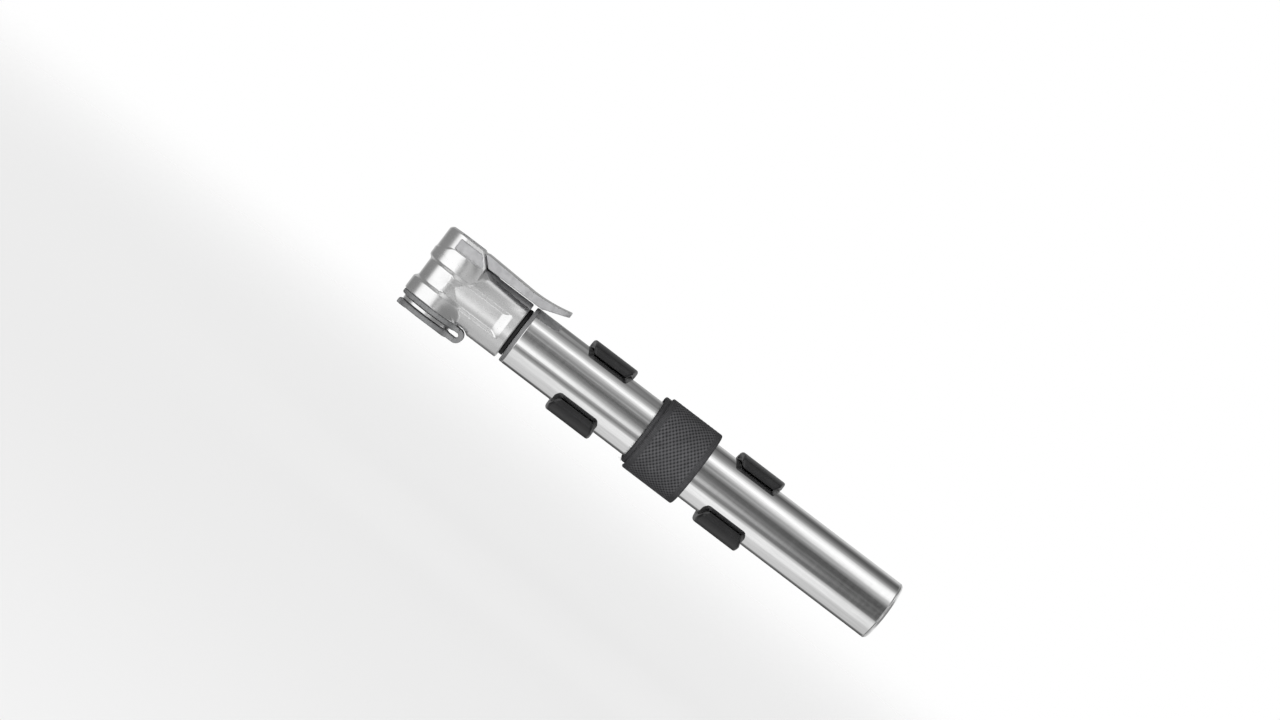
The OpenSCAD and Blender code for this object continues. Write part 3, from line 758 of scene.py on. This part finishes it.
# Cam: its radius, and how far its middle lies from the pin, away from the tip. Then the pin's running fit.
CAM_R, CAM_OFFSET = 3.7, 1.2
PIN_FIT_R = 1.55
# Its top is polished from here to the tip.
POLISHED_FROM = -26


def lever_field(x, y, z):
    arch = ARCH_Z + ARCH_RISE * np.clip((x - ARCH_X) / (LEVER_TIP_X - ARCH_X), 0, 1) ** 2
    arch = arch + ARCH_BACK * np.clip((ARCH_X - x) / ARCH_RUN, 0, 1)
    half = LEVER_HALF - TAPER * np.clip((x - TAPER_X) / TAPER_RUN, 0, 1)
    half = half - TIP_ROUND * np.clip(x - LEVER_TIP_X + TIP_RUN, 0, None) ** 2
    shell = rmax(rmax(outline(x, z, LEVER_SIDE), (z - arch) * 0.98, 0.3), (np.abs(y) - half) * 0.99, 0.45)
    hub = rmax(outline(x, z, LEVER_HUB), np.abs(y) - HUB_HALF, 0.3)
    cam = disc(x - PIN_X + CAM_OFFSET, y, z - PIN_Z, CAM_R, -HUB_HALF, HUB_HALF, "y", 0.3)
    solid = rmin(rmin(hub, cam, 0.5), shell, 0.3)
    hollow = rmax(outline(x, z, LEVER_HOLLOW), np.abs(y) - half + LEVER_WALL, 0.5)
    solid = rmax(solid, -hollow, 0.25)
    return rmax(solid, PIN_FIT_R - np.hypot(x - PIN_X, z - PIN_Z), 0.15)


def lever_materials(middle, facing):
    return (facing[:, 2] < 0.5) | (middle[:, 0] < POLISHED_FROM)


grown("lever", lever_field, (-36.0, -9.6, 6.6), (11.8, 9.6, 17.8), 0.3, [head_metal, cast_metal], "lever",
      ("thumb_lever",), lever_materials)


# ---------- dust cap ----------

# Heights of the ring and of the lid, the radius of the bend's middle, and half its thickness.
RING_Z = (-12.45, -10.65)
LID_Z = (-16.05, -14.25)
BEND_R, BEND_HALF = 1.8, 0.9
RING_R, RING_BORE_R = 11, 7.1
LID_R = 10
TAB = ((-39.9, -3, -16.35), (-36, 3, -14.55))
PLUG_R, PLUG_Z = 4.2, (-15, -11.4)
# The arms are this wide each way, and overrun the bend's start, where they are trimmed.
ARM_HALF, ARM_OVERRUN = 4, 0.3


def cap_plate(x, y, z, radius, heights, edge):
    """A disc below the nozzle with the arm that joins it to the bend."""
    plate = disc(x - NOZZLE_X, y, z, radius, *heights, "z", edge)
    low, high = heights
    arm = block(x, y, z, (NOZZLE_X, -ARM_HALF, low), (BEND_X + ARM_OVERRUN, ARM_HALF, high), 0.4)
    return rmin(plate, arm, 1.2)


def cap_ring_field(x, y, z):
    solid = rmax(cap_plate(x, y, z, RING_R, RING_Z, 0.5), x - BEND_X, 0)
    return rmax(solid, RING_BORE_R - np.hypot(x - NOZZLE_X, y), 0.3)


def cap_strap_field(x, y, z):
    around = np.hypot(x - BEND_X, z - BEND_Z)
    solid = rmax(np.abs(around - BEND_R) - BEND_HALF, np.abs(y) - ARM_HALF, 0.4)
    return rmax(solid, BEND_X - x, 0)


def cap_lid_field(x, y, z):
    lid = rmin(cap_plate(x, y, z, LID_R, LID_Z, 0.6), block(x, y, z, *TAB, 0.4), 0.8)
    solid = rmax(lid, x - BEND_X, 0)
    return rmin(solid, disc(x - NOZZLE_X, y, z, PLUG_R, *PLUG_Z, "z", 0.5), 0.4)


grown("dust_cap_collar_ring", cap_ring_field, (-41, -11.7, -13.1), (-16.2, 11.7, -10.0), 0.25, [grey_rubber],
      "pump", ("dust_cap_ring",))
grown("dust_cap_cover", cap_lid_field, (-40.6, -10.7, -17.0), (-16.2, 10.7, -10.8), 0.25, [grey_rubber],
      "cap_lid", ("dust_cap_lid",))
cap_strap = grown("dust_cap_hinge_strap", cap_strap_field, (-16.8, -4.6, -16.6), (-13.2, 4.6, -10.1), 0.2,
                  [grey_rubber], None, ("dust_cap_strap",))
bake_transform(cap_strap)


# ---------- turned parts ----------

HANDLE_R = 11.4
HANDLE_END = 159.0
SLEEVE_R = 10.4
SLEEVE_START, SLEEVE_END = 1.55, 157.9
# Radii of what fits into the sleeve, of the collar's bore, which slides on the barrel, and of the bumper's
# bore. Then the place of the end cap's flange.
FIT_R = 10.38
SLIDE_R = 8.56
SEAT_R = 8.52
FLANGE_X = 157.94
BARREL_R = 8.5
BORE_R = 7.5
BARREL_START, BARREL_END = -8, 146

lathe("sleeve", [
    (SLEEVE_START, SLEEVE_R, 0.1), (SLEEVE_END, SLEEVE_R, 0.1), (SLEEVE_END, HANDLE_R, 0.2),
    (SLEEVE_START, HANDLE_R, 0.15),
], [polished], "handle", ("handle_sleeve",))
lathe("sleeve_collar", [
    (COLLAR_X, SLIDE_R, 0.2), (10.6, SLIDE_R, 0.2), (10.6, FIT_R, 0.2), (SLEEVE_START, FIT_R, 0),
    (SLEEVE_START, 11.35, 0.12), (0.7, 11.35, 0.1), (COLLAR_X, 11.15, 0.25),
], [grey_nylon], "handle", ("handle_collar",))
lathe("end_cap", [
    (153.9, 2.12, 0), (156.4, 2.12, 0.1), (156.4, 4.2, 0.1), (158.5, 4.2, 0.15), (158.5, 8.2, 0.3),
    (HANDLE_END, 8.2, 0.2), (HANDLE_END, 10.9, 0.35), (158.35, HANDLE_R, 0.25), (FLANGE_X, HANDLE_R, 0.1),
    (FLANGE_X, FIT_R, 0), (149.9, FIT_R, 0.3), (149.9, 4.02, 0.1), (153.9, 4.02, 0),
], [polished], "handle", ("handle_end_cap",))
lathe("inner_barrel", [
    (BARREL_START, BORE_R, 0.15), (BARREL_END, BORE_R, 0.15), (BARREL_END, BARREL_R, 0.2),
    (BARREL_START, BARREL_R, 0.2),
], [satin], "pump", ("barrel",))
lathe("seam_bumper", [(NECK_END, SEAT_R, 0.2), (0.1, SEAT_R, 0.2), (0.1, 9.4, 0.4), (NECK_END, 9.4, 0.4)],
      [black_rubber], "pump", ("bumper_ring",))
lathe("nozzle_ring", [
    (-14, 4.7, 0.3), (-6.45, 4.7, 0.15), (-6.45, 6.98, 0.2), (-12.6, 6.98, 0), (-12.6, 9.65, 0.2),
    (-14, 9.65, 0.4),
], [head_metal], "pump", ("nozzle_collar",), "z", (NOZZLE_X, 0, 0))
gasket = lathe("nozzle_gasket", [
    (-6.4, 3.95, 0.4), (1.1, 3.95, 0.4), (1.1, 6.9, 0.3), (-6.4, 6.9, 0.3),
], [black_rubber], "pump", ("valve_gasket",), "z", (NOZZLE_X, 0, 0))
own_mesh(gasket)


# ---------- bracket ----------

CLIP_AT = (32.0, 96.0)
GRIP_IN, GRIP_OUT = 11.55, 14.75
UPPER_TIP, LOWER_TIP = math.radians(61), math.radians(-43)
# Half a clip's length in front and behind, and the stretch in y where one becomes the other.
CLIP_HALF, CLIP_BACK_HALF = 9.1, 9.5
CLIP_BACK_Y, CLIP_BACK_RUN = -2.5, 5
# What the front loses of it towards the tips, and the height and run over which each arm loses it.
TIP_LOSS = 3.0
LOWER_TAPER_Z, LOWER_TAPER_RUN = -12.2, 6.2
UPPER_TAPER_Z, UPPER_TAPER_RUN = 14.5, 5.5
# Spine between the clips, plate and pad, gussets, bolt slots, and the window that the strap runs through.
SPINE_HALF, SPINE_FRONT = 7, 5
PLATE_MIDDLE = 64.0
PLATE = ((22.5, 13.55, -2.5), (105.5, 37, -0.5))
PAD = ((25.5, 20.4, -3), (102.5, 35.6, 0))
GUSSET = [(13.75, -1.5), (19.75, -1.5), (13.75, 6)]
GUSSET_AT, GUSSET_HALF = (-6, 6), 1
BOLT_Y, BOLT_R, BOLT_RUN = 28, 2.75, 3.25
WINDOW = ((53.25, 15.3, -8), (80.75, 19.4, 8))


def grip_ring(y, z):
    """The ring that the clips and the spine are cut from."""
    return np.abs(np.hypot(y, z) - (GRIP_IN + GRIP_OUT) / 2) - (GRIP_OUT - GRIP_IN) / 2


def clip_field(x, y, z, middle):
    """C-shaped grip that opens towards -Y, with rounded tips that narrow."""
    low = CLIP_HALF - TIP_LOSS * np.clip((z - LOWER_TAPER_Z) / LOWER_TAPER_RUN, 0, 1)
    high = CLIP_HALF - TIP_LOSS * np.clip((UPPER_TAPER_Z - z) / UPPER_TAPER_RUN, 0, 1)
    front = np.where(z < 0, low, high)
    share = np.clip((y - CLIP_BACK_Y) / CLIP_BACK_RUN, 0, 1)
    half = front + (CLIP_BACK_HALF - front) * share
    arm = rmax(grip_ring(y, z), (np.abs(x - middle) - half) * 0.93, 0.9)
    past_upper = y * math.sin(UPPER_TIP) + z * math.cos(UPPER_TIP)
    past_lower = y * math.sin(LOWER_TIP) + z * math.cos(LOWER_TIP)
    return rmax(arm, np.minimum(-past_upper, past_lower), 1.2)


def bolt_slot(x, y, middle):
    along = np.maximum(np.abs(x - middle) - BOLT_RUN, 0)
    return np.hypot(along, y - BOLT_Y) - BOLT_R


def bracket_field(x, y, z):
    solid = np.minimum(clip_field(x, y, z, CLIP_AT[0]), clip_field(x, y, z, CLIP_AT[1]))
    spine_run = (CLIP_AT[1] - CLIP_AT[0]) / 2
    spine = rmax(rmax(grip_ring(y, z), np.abs(z) - SPINE_HALF, 0.8), np.abs(x - PLATE_MIDDLE) - spine_run, 0)
    solid = rmin(solid, rmax(spine, SPINE_FRONT - y, 0), 0.8)
    solid = rmin(solid, rmin(block(x, y, z, *PLATE, 0.6), block(x, y, z, *PAD, 0.45), 0.3), 0.8)
    for middle in CLIP_AT:
        for side in GUSSET_AT:
            gusset = rmax(outline(y, z, GUSSET), np.abs(x - middle - side) - GUSSET_HALF, 0.3)
            solid = rmin(solid, gusset, 0.5)
        solid = rmax(solid, -bolt_slot(x, y, middle), 0.35)
    solid = rmax(solid, GRIP_IN - np.hypot(y, z), 0.2)
    return rmax(solid, -block(x, y, z, *WINDOW, 0.8), 0.35)


grown("frame_bracket", bracket_field, (22, -15.4, -15.4), (106, 37.6, 15.4), 0.4, [black_plastic], "bracket",
      ("bracket",))


# ---------- strap ----------

STRAP_W = 21.5
STRAP_T = 1.5
SELVEDGE = 2.5
# Points across the strap, and the distance between its rows of points.
COLUMNS = 114
ROW_GAP = 0.21
# Half pitches of the knit across and along, the selvedge's pitch, and the depth of the relief.
CELL_X, CELL_S = 0.76, 0.92
PLAIN_PITCH = 0.62
RELIEF = 0.13
# Tones from the gaps up to the crowns, painted shade deep in the gaps and a painted highlight on the crowns,
# and the shares of the weave and of its threads in them.
STRAP_SHADE_AND_HIGHLIGHT_TONES = [(0.12, (0.004, 0.004, 0.005)), (0.5, (0.039, 0.039, 0.041)), (0.95, (0.145, 0.144, 0.15))]
WEAVE_SHARE, THREAD_SHARE = 0.75, 0.35
# Uneven tone and roughness, and the strength and height of the threads' relief.
FLUFF_TONE = (0.7, 1.3)
THREAD_ROUGH = (0.7, 0.95)
THREAD_BUMP, THREAD_BUMP_MM = 0.6, 0.08
# Heights from 0 to 1: the knit's lowest with its gain and power, the selvedge with its ribs and lines, the
# plain underside, and the fibres. Then the width over which knit turns into selvedge.
KNIT_LOW, KNIT_GAIN, KNIT_POWER = 0.15, 1.1, 0.8
PLAIN, RIBS, LINES = 0.66, 0.16, 0.06
UNDERSIDE, FIBRE_HEIGHT = 0.6, 0.55
SELVEDGE_FADE = 0.35
# Lower layer: radius in front, back, corners and middle. Upper layer: radius, half turn, middle and slant.
BAND_R, BAND_BACK, BAND_CORNER, BAND_X = 12.55, 17.25, 2.4, 65.4
FLAP_R, FLAP_TURN, FLAP_X, FLAP_SKEW = 14.07, 91, 67.0, 0.15


def strap_material():
    made, t = new_material("woven_strap")
    height = t.add("ShaderNodeAttribute", attribute_name="weave").outputs["Fac"]
    thread = t.noise((2600, 1500, 1500), 2.0)
    fluff = t.noise((260, 260, 260))
    mixed = t.math("ADD", t.math("MULTIPLY", height, WEAVE_SHARE), t.math("MULTIPLY", thread, THREAD_SHARE))
    # Base colour by the weave's height: painted shade in its gaps and troughs and a painted highlight on its
    # crowns, with uneven fluff.
    shade = t.mix(1.0, t.ramp(mixed, STRAP_SHADE_AND_HIGHLIGHT_TONES), t.spread(fluff, *FLUFF_TONE), "MULTIPLY")
    bump = {"Strength": THREAD_BUMP, "Distance": THREAD_BUMP_MM * MM, "Height": mixed}
    relief = t.add("ShaderNodeBump", bump)
    shader = t.add("ShaderNodeBsdfPrincipled", {
        "Base Color": shade, "Normal": relief, "Roughness": t.spread(thread, *THREAD_ROUGH),
        "Specular IOR Level": 0.15,
    })
    t.add("ShaderNodeOutputMaterial", {"Surface": shader})
    return made


strap_cloth = strap_material()


def weave(across, along):
    """Height 0…1 of an open knit with plain edges."""
    knit = 0.5 + 0.5 * np.cos(math.pi * across / CELL_X) * np.cos(math.pi * along / CELL_S)
    knit = np.clip(KNIT_LOW + KNIT_GAIN * knit ** KNIT_POWER, 0, 1)
    ribs, lines = np.cos(2 * math.pi * along / PLAIN_PITCH), np.cos(2 * math.pi * across / PLAIN_PITCH)
    plain = PLAIN + RIBS * ribs + LINES * lines
    share = np.clip((np.abs(across) - (STRAP_W / 2 - SELVEDGE)) / SELVEDGE_FADE, 0, 1)
    return knit * (1 - share) + plain * share


def set_weave(piece, height):
    values = piece.data.attributes.new("weave", "FLOAT", "POINT").data
    values.foreach_set("value", height.astype(np.float32))


def rounding(share):
    """What a round edge leaves of the thickness, by the share of the way through it."""
    return np.sqrt(np.maximum(1 - share ** 2, 0.02))


def strip(name, path, outward, closed, middle_x, body, stands_for, skew=0.0):
    """A woven strip along a path in y and z, outward being its outer side's direction at each point."""
    rows, cols = len(path), COLUMNS
    layer = rows * cols
    across = np.linspace(-STRAP_W / 2, STRAP_W / 2, cols)
    step = np.linalg.norm(np.diff(path, axis=0, append=path[:1] if closed else path[-1:]), axis=1)
    along = np.concatenate([[0], np.cumsum(step)[:-1]])
    height = weave(across[None, :], along[:, None])
    edge = np.clip((np.abs(across) - (STRAP_W / 2 - STRAP_T / 2)) / (STRAP_T / 2), 0, 1)
    end = np.zeros(rows)
    if not closed:
        end = np.clip(1 - np.minimum(along, along[-1] - along) / (STRAP_T / 2), 0, 1)
    half = (STRAP_T / 2) * rounding(edge)[None, :] * rounding(end)[:, None]
    outer = half - RELIEF * (1 - height)
    shift = skew * np.linspace(-1, 1, rows)[:, None]
    sides = []
    for offset in (outer, -half):
        x = middle_x + across[None, :] + shift
        y = path[:, 0, None] + outward[:, 0, None] * offset
        z = path[:, 1, None] + outward[:, 1, None] * offset
        sides.append(np.stack([np.broadcast_to(x, y.shape), y, z], -1).reshape(-1, 3))
    points = np.concatenate(sides)
    i, j = np.meshgrid(np.arange(rows if closed else rows - 1), np.arange(cols - 1), indexing="ij")
    i2 = (i + 1) % rows
    top = np.stack([i * cols + j, i2 * cols + j, i2 * cols + j + 1, i * cols + j + 1], -1).reshape(-1, 4)
    bottom = top[:, ::-1] + layer
    k, k2 = i[:, 0], i2[:, 0]
    left = np.stack([k * cols, k * cols + layer, k2 * cols + layer, k2 * cols], -1)
    right = left[:, ::-1] + cols - 1
    faces = [top, bottom, left, right]
    if not closed:
        m = np.arange(cols - 1)
        first = np.stack([m, m + 1, m + 1 + layer, m + layer], -1)
        faces += [first, first[:, ::-1] + (rows - 1) * cols]
    piece = new_mesh(name, points, np.concatenate(faces), [strap_cloth], body, stands_for)
    set_weave(piece, np.concatenate([height.ravel(), np.full(layer, UNDERSIDE)]))
    return piece, float(along[-1] + (step[-1] if closed else 0))


def arc_path(radius, start, end):
    """Points from one angle to another, in degrees from -Y towards +Z, and their outward directions."""
    count = int(abs(math.radians(end - start)) * radius / ROW_GAP) + 1
    turn = np.radians(np.linspace(start, end, count))
    out = np.stack([-np.cos(turn), np.sin(turn)], -1)
    return out * radius, out


def loop_path(radius, back, corner):
    """Half round the pump, then two straight sides and a flat back with round corners."""
    front, front_out = arc_path(radius, -90, 90)
    pieces, outs = [front], [front_out]

    def straight(a, b, out):
        count = max(2, int(np.hypot(b[0] - a[0], b[1] - a[1]) / ROW_GAP))
        share = (np.arange(1, count) / count)[:, None]
        pieces.append(np.array(a) + (np.array(b) - np.array(a)) * share)
        outs.append(np.repeat([out], count - 1, 0))

    def bend(cy, cz, first):
        turn = np.radians(np.linspace(first, first - 90, int(corner * math.pi / 2 / ROW_GAP) + 2))
        out = np.stack([np.cos(turn), np.sin(turn)], -1)
        pieces.append(np.array([cy, cz]) + out * corner)
        outs.append(out)

    straight((0, radius), (back - corner, radius), (0, 1))
    bend(back - corner, radius - corner, 90)
    straight((back, radius - corner), (back, corner - radius), (1, 0))
    bend(back - corner, corner - radius, 0)
    straight((back - corner, -radius), (0, -radius), (0, -1))
    return np.concatenate(pieces), np.concatenate(outs)


band, band_length = strip(
    "strap_lower_layer", *loop_path(BAND_R, BAND_BACK, BAND_CORNER), True, BAND_X, "bracket", ("strap_band",),
)
flap, flap_length = strip(
    "strap_upper_layer", *arc_path(FLAP_R, -FLAP_TURN, FLAP_TURN), False, FLAP_X, "bracket", ("strap_flap",),
    FLAP_SKEW,
)

# Loose fibres: the angle and radii between which they are rooted, how deep, how much their directions spread
# and they bow, their lengths, their radius, what it loses towards the tip, and their rings and sides.
FIBRES = 420
ROOT_ANGLE, ROOT_RADII, ROOT_DEPTH = 1.75, (11.95, 13.25), 0.25
SPREAD, BOW = 0.55, 0.25
FIBRE_LENGTHS = (0.3, 1.05)
FIBRE_R, FIBRE_TAPER = 0.035, 0.75
RINGS, RING_SIDES = 4, 3


def fuzz(name, count, body):
    """Loose fibres along the lower layer's cut edge."""
    rng = np.random.default_rng(7)
    angle = rng.uniform(-ROOT_ANGLE, ROOT_ANGLE, count)
    radius = rng.uniform(*ROOT_RADII, count)
    root_x = np.full(count, BAND_X - STRAP_W / 2 + ROOT_DEPTH)
    root = np.stack([root_x, -np.cos(angle) * radius, np.sin(angle) * radius], -1)
    lean = rng.normal(0, SPREAD, (count, 3)) + np.array([-1.0, 0, 0])
    lean /= np.linalg.norm(lean, axis=1)[:, None]
    length = rng.uniform(*FIBRE_LENGTHS, count)[:, None]
    bow = rng.normal(0, BOW, (count, 3)) * length
    side = np.cross(lean, rng.normal(0, 1, (count, 3)))
    side /= np.linalg.norm(side, axis=1)[:, None]
    other = np.cross(lean, side)
    points, faces = [], []
    for r in range(RINGS):
        share = r / (RINGS - 1)
        centre = root + lean * length * share + bow * share ** 2
        thick = FIBRE_R * (1 - FIBRE_TAPER * share)
        for k in range(RING_SIDES):
            turn = 2 * math.pi * k / RING_SIDES
            points.append(centre + (side * math.cos(turn) + other * math.sin(turn)) * thick)
    points = np.stack(points, 1)
    for ring in range(0, (RINGS - 1) * RING_SIDES, RING_SIDES):
        for k in range(RING_SIDES):
            k2 = (k + 1) % RING_SIDES
            faces.append([ring + k, ring + k2, ring + RING_SIDES + k2, ring + RING_SIDES + k])
    per_fibre = RINGS * RING_SIDES
    faces = (np.arange(count)[:, None, None] * per_fibre + np.array(faces)[None]).reshape(-1, 4)
    piece = new_mesh(name, points.reshape(-1, 3), faces, [strap_cloth], body, ())
    set_weave(piece, np.full(count * per_fibre, FIBRE_HEIGHT))
    return piece


fibres = fuzz("strap_fibres", FIBRES, "bracket")


# ---------- check valve spring ----------

def coil(name, body):
    turns, around, sides = 4, 40, 10
    wire, radius, start, end = 0.25, 2.3, -11.45, -14.75
    i, k = np.meshgrid(np.arange(turns * around + 1), np.arange(sides), indexing="ij")
    turn, about = 2 * math.pi * i / around, 2 * math.pi * k / sides
    r = radius + wire * np.cos(about)
    x = start + (end - start) * i / (turns * around) + wire * np.sin(about)
    points = np.stack([x, r * np.cos(turn), r * np.sin(turn)], -1).reshape(-1, 3)
    i, k = i[:-1], k[:-1]
    k2 = (k + 1) % sides
    here, ahead = i * sides, (i + 1) * sides
    faces = np.stack([here + k, here + k2, ahead + k2, ahead + k], -1).reshape(-1, 4)
    caps = []
    for base in (0, turns * around * sides):
        for a in range(1, sides - 2, 2):
            quad = [base, base + a, base + a + 1, base + a + 2]
            caps.append(quad[::-1] if base == 0 else quad)
    faces = np.concatenate([faces, caps])
    return new_mesh(name, points, faces, [steel], body, ("check_valve_spring",))


spring = coil("check_valve_coil", "pump")
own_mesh(spring)


# ---------- carried-over parts ----------

FINISH = {
    "lever_pin": steel, "plunger": black_nylon, "plunger_seal": black_rubber, "check_valve_seat": white_nylon,
    "check_valve_poppet": black_rubber, "barrel_seal": black_rubber, "barrel_end_guide": black_nylon,
    "rod_buffer": black_rubber, "end_cap_screw": black_steel, "piston_rod": satin, "piston": black_nylon,
    "piston_seal": black_rubber, "piston_screw": steel,
}
for node, finish in FINISH.items():
    data = NODES[node].data
    data.materials.clear()
    data.materials.append(finish)
